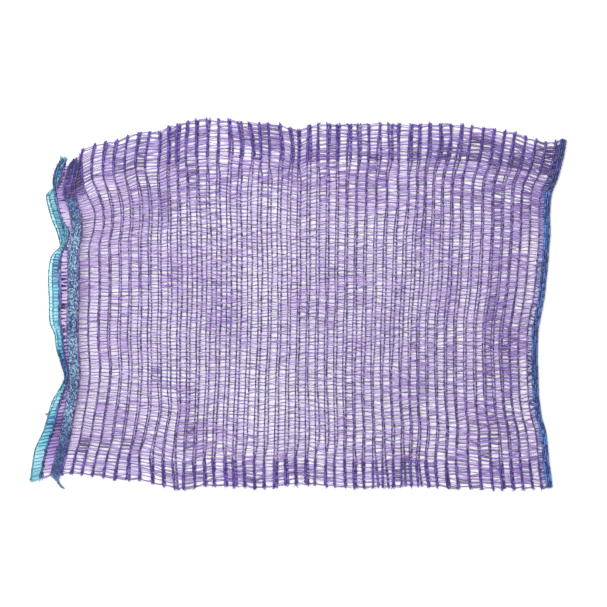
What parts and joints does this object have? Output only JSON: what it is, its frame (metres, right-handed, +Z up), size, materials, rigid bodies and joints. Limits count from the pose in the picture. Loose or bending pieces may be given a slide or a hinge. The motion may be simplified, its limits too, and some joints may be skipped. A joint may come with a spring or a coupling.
{
  "type": "mesh vegetable bag",
  "caption": "Empty knitted mesh vegetable bag lying flat, with open mouth, coloured selvedges, flat drawstring and doubled side bands.",
  "frame": {"origin": "on the table under the middle of the bag's reach", "axes": "+X from the mouth to the bottom of the bag, +Y towards its upper side in the picture, +Z up from the table"},
  "size_m": [0.6, 0.4121, 0.0207],
  "materials": {
    "violet_net": "translucent lilac film tape between dark violet knitted chains",
    "doubled_net": "two layers of the violet net knitted as one, with cut outer ends",
    "cyan_selvedge": "cyan film between teal and navy chains",
    "blue_edge": "blue film between navy chains over violet",
    "teal_tape": "dense flat knitted tape with pale and dark flecks"
  },
  "bodies": {
    "root": {"front_net": "violet_net", "back_net": "violet_net", "front_channel_strip": "violet_net", "back_channel_strip": "violet_net", "front_selvedge": "cyan_selvedge", "back_selvedge": "cyan_selvedge", "front_drawstring": "teal_tape", "back_drawstring": "teal_tape", "upper_side_band": "doubled_net", "lower_side_band": "doubled_net", "bottom_edge": "blue_edge"}
  },
  "joints": []
}
